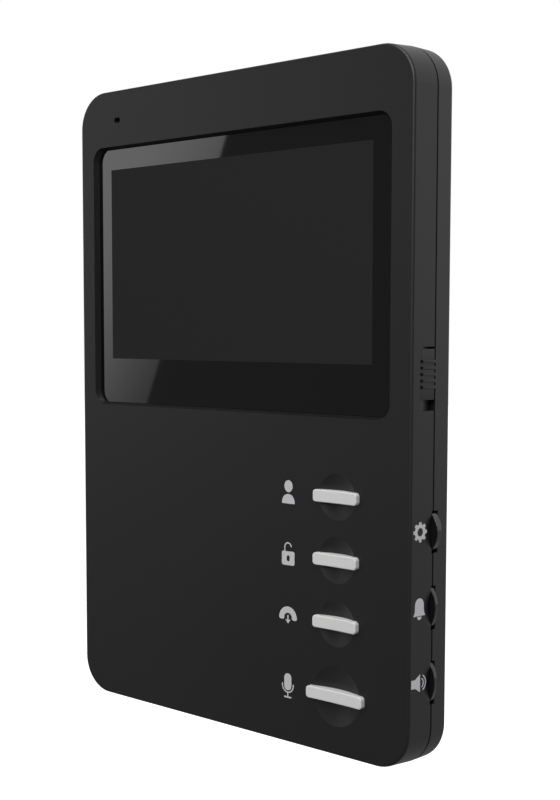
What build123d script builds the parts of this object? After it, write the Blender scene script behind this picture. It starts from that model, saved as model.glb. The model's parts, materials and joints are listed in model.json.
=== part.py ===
from build123d import *
import os
from math import atan, cos, degrees, pi, sin

# Video intercom monitor for a wall. Millimetres, +Z up, front towards -Y.
# The origin is on the wall plane, at the centre of the bracket's screw pattern.

# ---- overall sizes ----
body_width = 120.0  # at the seam, the widest place
body_height = 173.0
body_depth = 14.5  # front face to the rear rim
corner_radius = 10.3
cover_flare = 0.6  # each front cover wall leans out by this much at the seam
seam_depth = 8.0  # front face to the seam
seam_gap = 0.5
wall_standoff = 0.5  # rear rim to the wall
front_edge_round = 0.8
rear_edge_round = 1.0
side_wall = 2.4
front_plate = 2.0
rear_plate = 1.8
fit_gap = 0.15  # covers, keys and knobs in their openings
running_gap = 0.05  # shafts and slides in their guides
touch_gap = 0.1  # between the faces of moving neighbours at rest
lip_thickness = 1.2
lip_height = 2.1
lip_root = 1.2

# ---- screen ----
window_width = 105.8
window_height = 71.2
window_radius = 3.3
window_offset_x = -0.5
window_top_margin = 16.5  # body top to the top of the window
window_recess = 1.7
window_flare = 0.6  # the recess is this much wider at the front, each side
window_thickness = 0.9
pane_gap = 0.08  # round the window
tape_thickness = 0.2
tape_inset = 0.6
ledge_thickness = 0.8
ledge_rim = 2.0
active_width = 95.04
active_height = 53.86
active_offset_x = -0.5  # picture centre from the window's
active_offset_z = 3.4
view_margin = 1.0  # opening behind the window, around the picture
panel_side_margin = 3.0
panel_top_margin = 4.8
panel_bottom_margin = 8.5
panel_depth = 2.9
panel_wall = 0.8
panel_back = 0.3
cell_thickness = 1.1
flex_width = 24.0
flex_thickness = 0.2
flex_inset = 0.6
flex_overlap = 1.0  # length of the flex inside its connector
connector_length = 4.0
connector_height = 1.2
connector_rim = 1.0  # each side of the flex
foam_size = 10.0
foam_spacing_x = 30.0
foam_spacing_z = 30.0

# ---- keys ----
key_edge_distance = 23.0  # key centre to the body's right edge
key_first_drop = 107.75  # body top to the first key
key_pitch = 15.75
talk_key_drop = 157.5  # body top to the large key
key_width = 13.9
talk_key_width = 17.9
key_height = 3.1
key_end_radius = 0.9
key_edge_round = 0.3
key_hollow = 0.3  # of the cap's front, at the middle
key_proud = 1.25
key_travel = 0.5
key_flange_thickness = 0.6
key_flange_rim = 1.3
key_stem_radius = 1.1
dish_radius = 5.8
talk_dish_radius = 7.6
dish_depth = 1.3
dish_pad_rim = 1.4
dish_pad_thickness = 1.2
switch_size = 5.2
switch_height = 1.2
plunger_radius = 1.0
plunger_proud = 0.6
plunger_sunk = 0.5

# ---- side controls, drops measured from the body's top ----
menu_drop = 114.9
ring_drop = 133.2
talk_drop = 151.5
volume_radius = 8.2
volume_thickness = 1.2
menu_radius = 6.4
menu_thickness = 1.8
menu_proud = 1.5
wheel_proud = 1.1
wheel_slot_gap = 0.65
wheel_side_gap = 0.3
scoop_radius = 5.2
scoop_depth = 0.95
scoop_lip = 0.04  # of its curve above the wall
scoop_rim_slope = 0.1
scoop_setback = 1.6  # seam to the scoop's centre
pot_body_height = 0.8
pot_half_height = 3.6
pot_inner_reach = 4.5
pot_shaft_radius = 1.2
pot_head_radius = 2.2
pot_head_height = 0.5
menu_push = 0.5
menu_hub_radius = 4.2
menu_hub_height = 0.85
menu_pin_radius = 1.0
menu_pin_head_radius = 1.8
menu_pin_head_height = 0.4
menu_base_reach = 8.5
menu_base_half_height = 4.0
menu_tongue_half_height = 1.95
menu_tongue_depth = 0.5
menu_tongue_reach = 4.5
slider_top_drop = 70.8  # body top to the slider's recess
slider_recess_height = 15.1
slider_travel = 2.4
slider_front_inset = 3.2  # front face to the recess
slider_floor_depth = 1.6
slider_nose = 0.5  # start of the recess to the knob
slider_top_gap = 0.5  # above the knob at rest
slider_rib_count = 5
slider_rib_pitch = 1.52
slider_rib_width = 0.75
slider_rib_proud = 0.3
slider_pit_length = 0.7  # in the cover, ahead of each rib
slider_pit_height = 0.7
slider_pit_lead = 0.2  # of its length ahead of the recess
slider_pit_depth = 0.5
slider_stem_width = 3.2
slider_stem_depth = 2.0
slider_stem_inset = 1.0
lever_width = 2.0
lever_depth = 1.2
lever_engagement = 1.0
slide_switch_length = 10.0
slide_switch_width = 3.4
slide_switch_height = 2.2

# ---- microphone ----
microphone_edge_distance = 16.3  # body's left edge to the hole
microphone_drop = 8.8  # body top to the hole
microphone_slot_width = 2.4
microphone_slot_height = 1.4
microphone_radius = 3.0
microphone_height = 2.2
boot_radius = 4.4
boot_front = 0.7
boot_height = 3.6
boot_hole_radius = 0.9
boot_ring_wall = 1.0
boot_ring_height = 2.5

# ---- speaker ----
speaker_drop = 19.0  # body top to the speaker's centre
speaker_radius = 14.0
speaker_rim_wall = 1.5
speaker_frame_depth = 1.8
speaker_frame_floor = 0.6
speaker_magnet_radius = 8.0
speaker_magnet_depth = 3.0
speaker_gasket_thickness = 0.5
speaker_cone_thickness = 0.3
speaker_dome_radius = 4.5
speaker_dome_height = 0.6
speaker_mesh_thickness = 0.15
speaker_ring_wall = 1.0
speaker_screw_radius = 1.0
speaker_post_radius = 2.0
speaker_screw_head_radius = 3.2
speaker_screw_head_height = 0.9
speaker_screw_distance = 16.8
terminal_length = 2.0
grille_hole_radius = 0.8
grille_pitch = 2.7
grille_rings = 4

# ---- circuit board and what it carries ----
board_thickness = 1.2
board_edge_gap = 0.5
board_top_gap = 1.4  # board to the underside of the screen panel
board_corner_clear = 0.8
board_tab_length = 18.0
board_tab_gap = 0.4
board_post_radius = 2.6
board_post_inset = 7.5
board_screw_radius = 1.0
board_screw_head_radius = 1.9
board_screw_head_height = 1.2
board_screw_grip = 3.0
chip_height = 1.1
chip_spots = [  # x, drop below the sockets, width, height
    (-12.0, 33.0, 12.0, 12.0),
    (6.0, 33.0, 8.0, 6.0),
    (-12.0, 50.0, 9.0, 9.0),
    (20.0, 45.0, 5.0, 6.0),
]
socket_wall = 0.7
socket_height = 5.8
socket_drop = 98.5  # body top to the sockets
socket_pitch = 14.5
socket_pin_pitch = 2.5
socket_end_room = 0.9  # last pin to the socket's inner wall
socket_pin_width = 0.64
socket_pin_tail = 0.5
capacitor_radius = 2.5
capacitor_height = 4.8
capacitor_drop = 12.0  # sockets to the first capacitor
capacitor_pitch = 9.0
capacitor_count = 3
inductor_drop = 40.0
inductor_size = 6.0
inductor_height = 3.2
shield_width = 26.0
shield_length = 32.0
shield_height = 3.0
shield_wall = 0.3
shield_drop = 15.0
header_width = 4.6
header_length = 4.0
header_height = 3.0
lead_radius = 0.45
lead_pitch = 1.3
lead_bend = 0.45  # of the depth that the leads turn in

# ---- cover screws ----
screw_inset = 7.5  # from both edges of the body
cover_boss_radius = 3.2
cover_post_radius = 3.7
cover_screw_radius = 1.25
cover_screw_head_radius = 2.3
cover_screw_head_height = 1.3
cover_screw_grip = 5.0
cover_screw_sink = 0.3
screw_hole_gap = 0.2
cross_reach = 0.6  # of the head radius
cross_width = 0.5
cross_depth = 0.6

# ---- wall bracket ----
bracket_width = 68.0
bracket_height = 96.0
bracket_radius = 3.0
bracket_thickness = 1.2
bracket_gap = 1.0  # around the bracket in its recess
bracket_recess = 2.0
recess_floor = 1.5
recess_rim = 1.8
wiring_width = 44.0
wiring_height = 40.0
wiring_radius = 3.0
lift_travel = 6.0
hook_spacing_x = 56.0
hook_upper_z = 24.0
hook_lower_z = -32.0
hook_width = 8.0
hook_nose = 5.0
hook_nose_gap = 0.4
hook_side_gap = 0.5
hook_window = 5.0
wall_screw_radius = 2.25
wall_screw_spacing_x = 54.0
wall_screw_spacing_z = 86.0
box_slot_spacing = 60.0
box_slot_length = 8.0
box_slot_radius = 2.1

# ---- places worked out from the sizes ----
rear_y = -wall_standoff
face_y = rear_y - body_depth
seam_y = face_y + seam_depth
rear_front_y = seam_y + seam_gap
plate_y = face_y + front_plate
rear_inner_y = rear_y - rear_plate
recess_y = rear_y - bracket_recess
recess_inner_y = recess_y - recess_floor
top_z = body_height / 2
right_x = body_width / 2
cavity_width = body_width - 2 * side_wall
cavity_height = body_height - 2 * side_wall
cavity_radius = corner_radius - side_wall
lip_right = cavity_width / 2 - fit_gap
lip_inner_x = lip_right - lip_thickness
lip_front_y = seam_y - lip_height
window_z = top_z - window_top_margin - window_height / 2
window_front_y = face_y + window_recess
window_back_y = window_front_y + window_thickness
ledge_y = window_back_y + tape_thickness
panel_y = ledge_y + ledge_thickness
panel_back_y = panel_y + panel_depth
active_x = window_offset_x + active_offset_x
active_z = window_z + active_offset_z
panel_left = active_x - active_width / 2 - panel_side_margin
panel_right = active_x + active_width / 2 + panel_side_margin
panel_bottom = active_z - active_height / 2 - panel_bottom_margin
panel_top = active_z + active_height / 2 + panel_top_margin
board_back_y = seam_y - touch_gap - pot_body_height
board_y = board_back_y - board_thickness
board_right = lip_inner_x - board_edge_gap
board_top = panel_bottom - board_top_gap
board_bottom = board_edge_gap + fit_gap + lip_thickness - cavity_height / 2
key_x = right_x - key_edge_distance
pad_back_y = plate_y + dish_pad_thickness
flange_y = pad_back_y + touch_gap
switch_y = board_y - switch_height
volume_x = right_x + wheel_proud - volume_radius
menu_x = right_x + menu_proud - menu_radius
menu_z = top_z - menu_drop
menu_base_y = seam_y - wheel_side_gap / 2
hub_y = menu_base_y + running_gap
web_y = hub_y + menu_hub_height + running_gap
socket_z = top_z - socket_drop
speaker_z = top_z - speaker_drop
speaker_back_y = rear_inner_y - speaker_gasket_thickness
speaker_front_y = speaker_back_y - speaker_frame_depth
microphone_x = microphone_edge_distance - right_x
microphone_z = top_z - microphone_drop
slider_front_y = face_y + slider_front_inset
slider_top = top_z - slider_top_drop
slider_bottom = slider_top - slider_recess_height
knob_top = slider_top - slider_top_gap
knob_bottom = slider_bottom + slider_travel + fit_gap
knob_z = (knob_top + knob_bottom) / 2
stem_y = slider_front_y + slider_stem_inset
stem_back_y = stem_y + slider_stem_depth
stem_x = board_right + board_edge_gap / 2
lever_y = (stem_y + stem_back_y - lever_depth) / 2
switch_x = panel_right + board_tab_gap + fit_gap
screw_seat_y = rear_y - cover_screw_sink - cover_screw_head_height
recess_z = -lift_travel / 2
recess_width = bracket_width + 2 * bracket_gap
recess_height = bracket_height + 2 * bracket_gap + lift_travel
recess_radius = bracket_radius + bracket_gap
nose_back_y = recess_inner_y - hook_nose_gap
nose_front_y = nose_back_y - bracket_thickness

screw_places = [
    (x * (right_x - screw_inset), z * (top_z - screw_inset)) for x in (-1, 1) for z in (-1, 1)
]
board_posts = [
    (board_post_inset - board_right, board_top - board_post_inset),
    (board_post_inset, board_top - board_post_inset),
    (board_post_inset - board_right, board_bottom + 2 * board_post_inset),
    (board_post_inset, board_bottom + board_post_inset),
]
speaker_screws = [(x * speaker_screw_distance, speaker_z) for x in (-1, 1)]
hooks = [(x * hook_spacing_x / 2, z) for x in (-1, 1) for z in (hook_lower_z, hook_upper_z)]
keys = {
    "view": (top_z - key_first_drop, key_width, dish_radius),
    "unlock": (top_z - key_first_drop - key_pitch, key_width, dish_radius),
    "hang_up": (top_z - key_first_drop - 2 * key_pitch, key_width, dish_radius),
    "talk": (top_z - talk_key_drop, talk_key_width, talk_dish_radius),
}
volumes = {"ring": top_z - ring_drop, "talk": top_z - talk_drop}
wheels = [(menu_x, menu_z, menu_radius, menu_thickness)] + [
    (volume_x, z, volume_radius, volume_thickness) for z in volumes.values()
]
sockets = {"door": (-socket_pitch, 4), "second_door": (0.0, 4), "power": (socket_pitch, 2)}


def slab(profile, front, back):
    """A flat profile drawn in X and Z, filled from y = front to y = back."""
    return extrude(Plane.XZ.offset(-back) * profile, back - front)


def block(x0, x1, y0, y1, z0, z1):
    return Pos((x0 + x1) / 2, (y0 + y1) / 2, (z0 + z1) / 2) * Box(x1 - x0, y1 - y0, z1 - z0)


def rod(x, z, radius, front, back):
    return slab(Pos(x, z) * Circle(radius), front, back)


def tube(x, z, radius, bore, front, back):
    return slab(Pos(x, z) * (Circle(radius) - Circle(bore)), front, back)


def rounded(width, height, radius, x=0.0, z=0.0):
    return Pos(x, z) * RectangleRounded(width, height, radius)


def window_outline(inset=0.0):
    width = window_width - 2 * inset
    height = window_height - 2 * inset
    return rounded(width, height, window_radius - inset, window_offset_x, window_z)


def wall_x(y):
    """Outer face of the front cover's side wall at depth y."""
    return right_x - cover_flare * (seam_y - y) / seam_depth


def slider_floor_x(y):
    """Floor of the slider's recess: it starts at the surface and deepens towards the seam."""
    share = (y - slider_front_y) / (seam_y - slider_front_y)
    start = wall_x(slider_front_y)
    return start + share * (right_x - slider_floor_depth - start)


def wheel_slot(x, z, radius, front, back):
    return rod(x, z, radius + wheel_slot_gap, front, back)


def finger_scoop(z):
    """A shallow dish with a soft rim in the side wall, so that a finger reaches the wheel."""
    curve = Spline(
        (0, -scoop_depth),
        (scoop_radius / 2, -scoop_depth / 2),
        (scoop_radius, scoop_lip),
        tangents=[(1, 0), (1, scoop_rim_slope)],
    )
    sides = Polyline(
        (scoop_radius, scoop_lip), (scoop_radius, scoop_depth), (0, scoop_depth), (0, -scoop_depth)
    )
    dish = revolve(make_face([curve, sides]), Axis.Y, 360)
    lean = degrees(atan(cover_flare / seam_depth))
    y = seam_y + scoop_setback
    return Pos(wall_x(y), y, z) * Rot(0, 0, -90 - lean) * dish


def socket_width(pins):
    return (pins - 1) * socket_pin_pitch + 2 * (socket_end_room + socket_wall)


def pin_places():
    return [
        (x + (i - (pins - 1) / 2) * socket_pin_pitch, socket_z)
        for x, pins in sockets.values()
        for i in range(pins)
    ]


def screw(x, z, radius, tip_y, seat_y, head_radius, head_y):
    """A pan head screw with a cross recess. Its head runs from the seat to head_y."""
    body = rod(x, z, radius, min(tip_y, seat_y), max(tip_y, seat_y))
    body += rod(x, z, head_radius, min(head_y, seat_y), max(head_y, seat_y))
    arm = cross_reach * head_radius
    floor_y = head_y + cross_depth * (1 if seat_y > head_y else -1)
    low, high = min(head_y, floor_y), max(head_y, floor_y)
    for half_x, half_z in ((arm, cross_width / 2), (cross_width / 2, arm)):
        body -= block(x - half_x, x + half_x, low, high, z - half_z, z + half_z)
    return body


def front_cover():
    lean = degrees(atan(cover_flare / seam_depth))
    outline = rounded(body_width, body_height, corner_radius)
    shell = extrude(Plane.XZ.offset(-seam_y) * outline, seam_depth, taper=lean)
    shell = fillet(shell.faces().sort_by(Axis.Y)[0].edges(), front_edge_round)
    shell -= slab(rounded(cavity_width, cavity_height, cavity_radius), plate_y, seam_y)

    ledge = window_outline(-ledge_rim)
    shell += slab(ledge, plate_y, panel_y)
    for z, _, radius in keys.values():
        shell += rod(key_x, z, radius + dish_pad_rim, plate_y, pad_back_y)
    ring_bore = boot_radius + fit_gap
    ring = (ring_bore + boot_ring_wall, ring_bore, plate_y, plate_y + boot_ring_height)
    shell += tube(microphone_x, microphone_z, *ring)
    for x, z in screw_places:
        shell += rod(x, z, cover_boss_radius, plate_y, seam_y)
        shell -= rod(x, z, cover_screw_radius, seam_y - cover_screw_grip, seam_y)
    for x, z in board_posts:
        shell += rod(x, z, board_post_radius, plate_y, board_y)
        shell -= rod(x, z, board_screw_radius, board_y - board_screw_grip, board_y)

    flare = degrees(atan(window_flare / window_recess))
    window = window_outline()
    shell -= extrude(Plane.XZ.offset(-window_front_y) * window, window_recess, taper=-flare)
    shell -= slab(window, window_front_y, ledge_y)
    opening = Rectangle(active_width + 2 * view_margin, active_height + 2 * view_margin)
    shell -= slab(Pos(active_x, active_z) * opening, face_y, panel_y)
    for z, width, radius in keys.values():
        ball_radius = (radius**2 + dish_depth**2) / (2 * dish_depth)
        shell -= Pos(key_x, face_y + dish_depth - ball_radius, z) * Sphere(ball_radius)
        gap = 2 * fit_gap
        hole = rounded(width + gap, key_height + gap, key_end_radius + fit_gap, key_x, z)
        shell -= slab(hole, face_y, pad_back_y)
    slot = SlotOverall(microphone_slot_width, microphone_slot_height)
    shell -= slab(Pos(microphone_x, microphone_z) * slot, face_y, plate_y)

    for x, z, radius, _ in wheels:
        shell -= wheel_slot(x, z, radius, seam_y - wheel_side_gap, seam_y)
        shell -= finger_scoop(z)
    for z in rib_places():
        shell -= slider_pit(z)
    return shell - slider_recess() - slider_slot(seam_y)


def rib_places():
    middle = (slider_rib_count - 1) / 2
    return [knob_z + (i - middle) * slider_rib_pitch for i in range(slider_rib_count)]


def slider_pit(z):
    front_y = slider_front_y - slider_pit_lead
    half = slider_pit_height / 2
    deep_x = wall_x(front_y) - slider_pit_depth
    return block(deep_x, right_x, front_y, front_y + slider_pit_length, z - half, z + half)


def slider_recess():
    outline = Polyline(
        (wall_x(slider_front_y), slider_front_y),
        (right_x + 1, slider_front_y),
        (right_x + 1, seam_y),
        (slider_floor_x(seam_y), seam_y),
        close=True,
    )
    return Pos(0, 0, slider_bottom) * extrude(make_face(outline), slider_recess_height)


def slider_slot(back):
    """The space in both covers that the slider's stem travels through."""
    low = knob_z - slider_stem_width / 2 - slider_travel - fit_gap
    high = knob_z + slider_stem_width / 2 + fit_gap
    return block(lip_inner_x - board_edge_gap, right_x, stem_y - fit_gap, back, low, high)


def rear_cover():
    shell = slab(rounded(body_width, body_height, corner_radius), rear_front_y, rear_y)
    shell = fillet(shell.faces().sort_by(Axis.Y)[-1].edges(), rear_edge_round)
    cavity = rounded(cavity_width, cavity_height, cavity_radius)
    shell -= slab(cavity, rear_front_y, rear_inner_y)
    lip_outer = rounded(2 * lip_right, cavity_height - 2 * fit_gap, cavity_radius - fit_gap)
    step = fit_gap + lip_thickness
    lip_inner = rounded(2 * lip_inner_x, cavity_height - 2 * step, cavity_radius - step)
    shell += slab(cavity - lip_inner, rear_front_y, rear_front_y + lip_root)
    shell += slab(lip_outer - lip_inner, lip_front_y, rear_front_y + lip_root)

    rim = 2 * recess_rim
    pad = rounded(recess_width + rim, recess_height + rim, recess_radius + recess_rim, 0, recess_z)
    shell += slab(pad, recess_inner_y, rear_inner_y)
    recess = rounded(recess_width, recess_height, recess_radius, 0, recess_z)
    shell -= slab(recess, recess_y, rear_y)
    for x, z in hooks:
        half = hook_width / 2 + hook_side_gap
        low = z - lift_travel - hook_side_gap
        high = z + bracket_thickness + touch_gap
        shell -= block(x - half, x + half, recess_inner_y, recess_y, low, high)
    for x, pins in sockets.values():
        half = socket_width(pins) / 2 + fit_gap
        tall = socket_height / 2 + fit_gap
        shell -= block(x - half, x + half, recess_inner_y, recess_y, socket_z - tall, socket_z + tall)

    for x, z in screw_places:
        shell += rod(x, z, cover_post_radius, seam_y, rear_inner_y)
        shell -= rod(x, z, cover_boss_radius + fit_gap, lip_front_y, seam_y)
        shell -= rod(x, z, cover_screw_radius + screw_hole_gap, seam_y, rear_y)
        shell -= rod(x, z, cover_screw_head_radius + screw_hole_gap, screw_seat_y, rear_y)
    ring_bore = speaker_radius + fit_gap
    ring = tube(0, speaker_z, ring_bore + speaker_ring_wall, ring_bore, speaker_front_y, rear_inner_y)
    for x, z in speaker_screws:
        ring += rod(x, z, speaker_post_radius, speaker_front_y, rear_inner_y)
        ring -= rod(0, z, ring_bore, speaker_front_y, rear_inner_y)
        ring -= rod(x, z, speaker_screw_radius, speaker_front_y, rear_inner_y)
    shell += ring
    for x, z in grille_places():
        shell -= rod(x, z, grille_hole_radius, rear_inner_y, rear_y)

    for x, z, radius, thickness in wheels:
        shell -= wheel_slot(x, z, radius, lip_front_y, seam_y + thickness + wheel_side_gap)
    return shell - slider_slot(seam_y)


def grille_places():
    """Rings of six, twelve, eighteen holes and so on about a centre hole."""
    places = [(0.0, speaker_z)]
    for ring in range(1, grille_rings + 1):
        for i in range(6 * ring):
            turn = 2 * pi * i / (6 * ring)
            reach = ring * grille_pitch
            places.append((reach * cos(turn), speaker_z + reach * sin(turn)))
    return places


def screen_parts():
    window = window_outline(pane_gap)
    tape = window_outline(pane_gap + tape_inset)
    view = Pos(active_x, active_z) * Rectangle(
        active_width + 3 * view_margin, active_height + 3 * view_margin
    )
    tray = block(panel_left, panel_right, panel_y, panel_back_y, panel_bottom, panel_top)
    inside = (
        panel_left + panel_wall,
        panel_right - panel_wall,
        panel_bottom + panel_wall,
        panel_top - panel_wall,
    )
    cell_back_y = panel_y + cell_thickness
    light_back_y = panel_back_y - panel_back
    x0, x1, z0, z1 = inside
    tray -= block(x0, x1, panel_y, light_back_y, z0, z1)
    flex_back_y = panel_back_y - flex_inset
    flex_y = flex_back_y - flex_thickness
    left = active_x - flex_width / 2
    right = active_x + flex_width / 2
    connector_top = board_top - board_corner_clear
    flex = block(left, right, flex_y, flex_back_y, connector_top - flex_overlap, panel_bottom)
    connector = block(
        left - connector_rim,
        right + connector_rim,
        board_y - connector_height,
        board_y,
        connector_top - connector_length,
        connector_top,
    )
    half = foam_size / 2
    foam_z = (panel_bottom + panel_top) / 2 - foam_size
    pads = [
        Pos(x * foam_spacing_x / 2, 0, foam_z + z * foam_spacing_z / 2)
        * block(-half, half, panel_back_y, recess_inner_y, -half, half)
        for x in (-1, 1)
        for z in (-1, 1)
    ]
    return {
        "screen_window": slab(window, window_front_y, window_back_y),
        "window_tape": slab(tape - view, window_back_y, ledge_y),
        "panel_tray": tray,
        "panel_cell": block(x0, x1, panel_y, cell_back_y, z0, z1),
        "panel_backlight": block(x0, x1, cell_back_y, light_back_y, z0, z1),
        "panel_flex": flex,
        "flex_connector": connector - flex,
        "panel_foam_pads": pads,
    }


def key_parts():
    parts = {}
    bodies = []
    for name, (z, width, _) in keys.items():
        cap = slab(rounded(width, key_height, key_end_radius, key_x, z), face_y - key_proud, flange_y)
        hollow_radius = (width**2 / 4 + key_hollow**2) / (2 * key_hollow)
        hollow_y = face_y - key_proud + key_hollow - hollow_radius
        cap -= Pos(key_x, hollow_y, z) * Cylinder(hollow_radius, key_height)
        cap = fillet(cap.faces().sort_by(Axis.Y)[0].edges(), key_edge_round)
        rim = 2 * key_flange_rim
        flange_back_y = flange_y + key_flange_thickness
        flange = rounded(width + rim, key_height + rim, key_end_radius, key_x, z)
        cap += slab(flange, flange_y, flange_back_y)
        plunger_y = switch_y - plunger_proud
        cap += rod(key_x, z, key_stem_radius, flange_back_y, plunger_y)
        parts[f"{name}_key"] = cap
        parts[f"{name}_key_plunger"] = rod(
            key_x, z, plunger_radius, plunger_y, switch_y + plunger_sunk
        )
        half = switch_size / 2
        body = block(key_x - half, key_x + half, switch_y, board_y, z - half, z + half)
        bore_y = switch_y + plunger_sunk + key_travel + touch_gap
        bodies.append(body - rod(key_x, z, plunger_radius + running_gap, switch_y, bore_y))
    parts["key_switches"] = bodies
    return parts


def volume_parts():
    parts = {}
    back_y = seam_y + volume_thickness
    for name, z in volumes.items():
        x0 = volume_x - pot_inner_reach
        base = block(
            x0,
            board_right - touch_gap,
            board_back_y,
            board_back_y + pot_body_height,
            z - pot_half_height,
            z + pot_half_height,
        )
        bore_y = board_back_y + pot_body_height
        base -= rod(volume_x, z, pot_shaft_radius + running_gap, board_back_y, bore_y)
        shaft = rod(volume_x, z, pot_shaft_radius, board_back_y + touch_gap, back_y)
        shaft += rod(volume_x, z, pot_head_radius, back_y, back_y + pot_head_height)
        wheel = tube(volume_x, z, volume_radius, pot_shaft_radius, seam_y, back_y)
        rims = wheel.edges().filter_by(GeomType.CIRCLE).sort_by(SortBy.RADIUS)[-2:]
        parts[f"{name}_volume_wheel"] = fillet(rims, wheel_side_gap / 2)
        parts[f"{name}_volume_shaft"] = shaft
        parts[f"{name}_volume_control"] = base
    return parts


def menu_parts():
    back_y = seam_y + menu_thickness
    wheel = rod(menu_x, menu_z, menu_radius, seam_y, back_y)
    wheel = fillet(wheel.edges().filter_by(GeomType.CIRCLE), wheel_side_gap / 2)
    wheel -= rod(menu_x, menu_z, menu_hub_radius + 2 * running_gap, seam_y, web_y)
    wheel -= rod(menu_x, menu_z, menu_pin_radius + running_gap, web_y, back_y)

    hub_back_y = web_y - running_gap
    head_y = back_y + running_gap
    tongue_y = hub_y - menu_tongue_depth
    tongue_left = menu_x - menu_tongue_reach
    tongue_right = board_right - touch_gap
    low = menu_z - menu_tongue_half_height
    high = menu_z + menu_tongue_half_height
    carrier = rod(menu_x, menu_z, menu_hub_radius, hub_y, hub_back_y)
    carrier += rod(menu_x, menu_z, menu_pin_radius, hub_back_y, head_y)
    carrier += rod(menu_x, menu_z, menu_pin_head_radius, head_y, head_y + menu_pin_head_height)
    carrier += block(tongue_left, tongue_right, tongue_y, hub_y, low, high)

    base = block(
        menu_x - menu_base_reach,
        tongue_right,
        board_back_y,
        menu_base_y,
        menu_z - menu_base_half_height,
        menu_z + menu_base_half_height,
    )
    base -= block(
        tongue_left - menu_push - touch_gap,
        tongue_right,
        tongue_y - running_gap,
        menu_base_y,
        low - running_gap,
        high + running_gap,
    )
    return {"menu_wheel": wheel, "menu_carrier": carrier, "menu_switch": base}


def slider_parts():
    nose_y = slider_front_y + slider_nose
    outline = Polyline(
        (wall_x(nose_y), nose_y),
        (wall_x(seam_y), seam_y),
        (slider_floor_x(seam_y) + fit_gap, seam_y),
        (slider_floor_x(nose_y) + fit_gap, nose_y),
        close=True,
    )
    knob = Pos(0, 0, knob_bottom) * extrude(make_face(outline), knob_top - knob_bottom)
    rib_back_y = rear_front_y - running_gap
    rib_outline = make_face(
        Polyline(
            (wall_x(nose_y), nose_y),
            (wall_x(nose_y) + slider_rib_proud, nose_y + slider_rib_proud),
            (right_x + slider_rib_proud, rib_back_y),
            (right_x - slider_rib_proud, rib_back_y),
            close=True,
        )
    )
    for z in rib_places():
        knob += Pos(0, 0, z - slider_rib_width / 2) * extrude(rib_outline, slider_rib_width)
    half = slider_stem_width / 2
    stem = block(stem_x, wall_x(stem_y) - fit_gap, stem_y, stem_back_y, knob_z - half, knob_z + half)
    lever = block(
        switch_x + slide_switch_width / 2,
        stem_x + lever_engagement,
        lever_y,
        lever_y + lever_depth,
        knob_z - lever_width / 2,
        knob_z + lever_width / 2,
    )
    middle = knob_z - slider_travel / 2
    case = block(
        switch_x,
        switch_x + slide_switch_width,
        board_y - slide_switch_height,
        board_y,
        middle - slide_switch_length / 2,
        middle + slide_switch_length / 2,
    )
    case -= block(
        switch_x + slide_switch_width / 2 - touch_gap,
        switch_x + slide_switch_width,
        lever_y - running_gap,
        lever_y + lever_depth + running_gap,
        knob_z - lever_width / 2 - slider_travel - touch_gap,
        knob_z + lever_width / 2 + touch_gap,
    )
    return {"power_slider": knob + stem - lever, "slide_switch_lever": lever, "slide_switch": case}


def board_parts():
    board = block(-board_right, board_right, board_y, board_back_y, board_bottom, board_top)
    tab_top = board_top + board_tab_length
    board += block(
        panel_right + board_tab_gap, board_right, board_y, board_back_y, board_top, tab_top
    )
    notch = 2 * (screw_inset + cover_boss_radius + board_corner_clear)
    for x in (-right_x, right_x):
        board -= Pos(x, board_y, -top_z) * Box(notch, 4 * board_thickness, notch)
    for x, z in board_posts:
        board -= rod(x, z, board_screw_radius + screw_hole_gap, board_y, board_back_y)
    pins = []
    half = socket_pin_width / 2
    shells = {}
    for name, (x, count) in sockets.items():
        wide = socket_width(count) / 2
        tall = socket_height / 2
        top_y = recess_y - screw_hole_gap
        case = block(x - wide, x + wide, board_back_y, top_y, socket_z - tall, socket_z + tall)
        wide -= socket_wall
        tall -= socket_wall
        floor_y = board_back_y + socket_wall
        case -= block(x - wide, x + wide, floor_y, top_y, socket_z - tall, socket_z + tall)
        shells[f"{name}_socket"] = case
    for x, z in pin_places():
        pin_tip_y = recess_y - 2 * socket_wall
        pin = block(x - half, x + half, board_y - socket_pin_tail, pin_tip_y, z - half, z + half)
        pins.append(pin)
        board -= pin
        for name in shells:
            shells[name] -= pin

    chips = [
        Pos(x, board_back_y, socket_z - drop) * block(-w / 2, w / 2, 0, chip_height, -h / 2, h / 2)
        for x, drop, w, h in chip_spots
    ]
    caps = [
        rod(
            board_post_inset - board_right,
            socket_z - capacitor_drop - capacitor_pitch * i,
            capacitor_radius,
            board_back_y,
            board_back_y + capacitor_height,
        )
        for i in range(capacitor_count)
    ]
    half = inductor_size / 2
    inductor = Pos(board_post_inset - board_right, board_back_y, socket_z - inductor_drop) * (
        block(-half, half, 0, inductor_height, -half, half)
    )
    left, right = (side * shield_width / 2 - board_right / 2 for side in (-1, 1))
    front_y = board_y - shield_height
    high = socket_z - shield_drop
    low = high - shield_length
    can = block(left, right, front_y, board_y, low, high)
    can -= block(
        left + shield_wall,
        right - shield_wall,
        front_y + shield_wall,
        board_y,
        low + shield_wall,
        high - shield_wall,
    )
    screws = [
        screw(
            x,
            z,
            board_screw_radius,
            board_y - board_screw_grip + touch_gap,
            board_back_y,
            board_screw_head_radius,
            board_back_y + board_screw_head_height,
        )
        for x, z in board_posts
    ]
    return {
        "main_board": board,
        **shells,
        "socket_pins": pins,
        "board_chips": chips,
        "supply_capacitors": caps,
        "supply_inductor": inductor,
        "video_shield": can,
        "board_screws": screws,
    }


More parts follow.
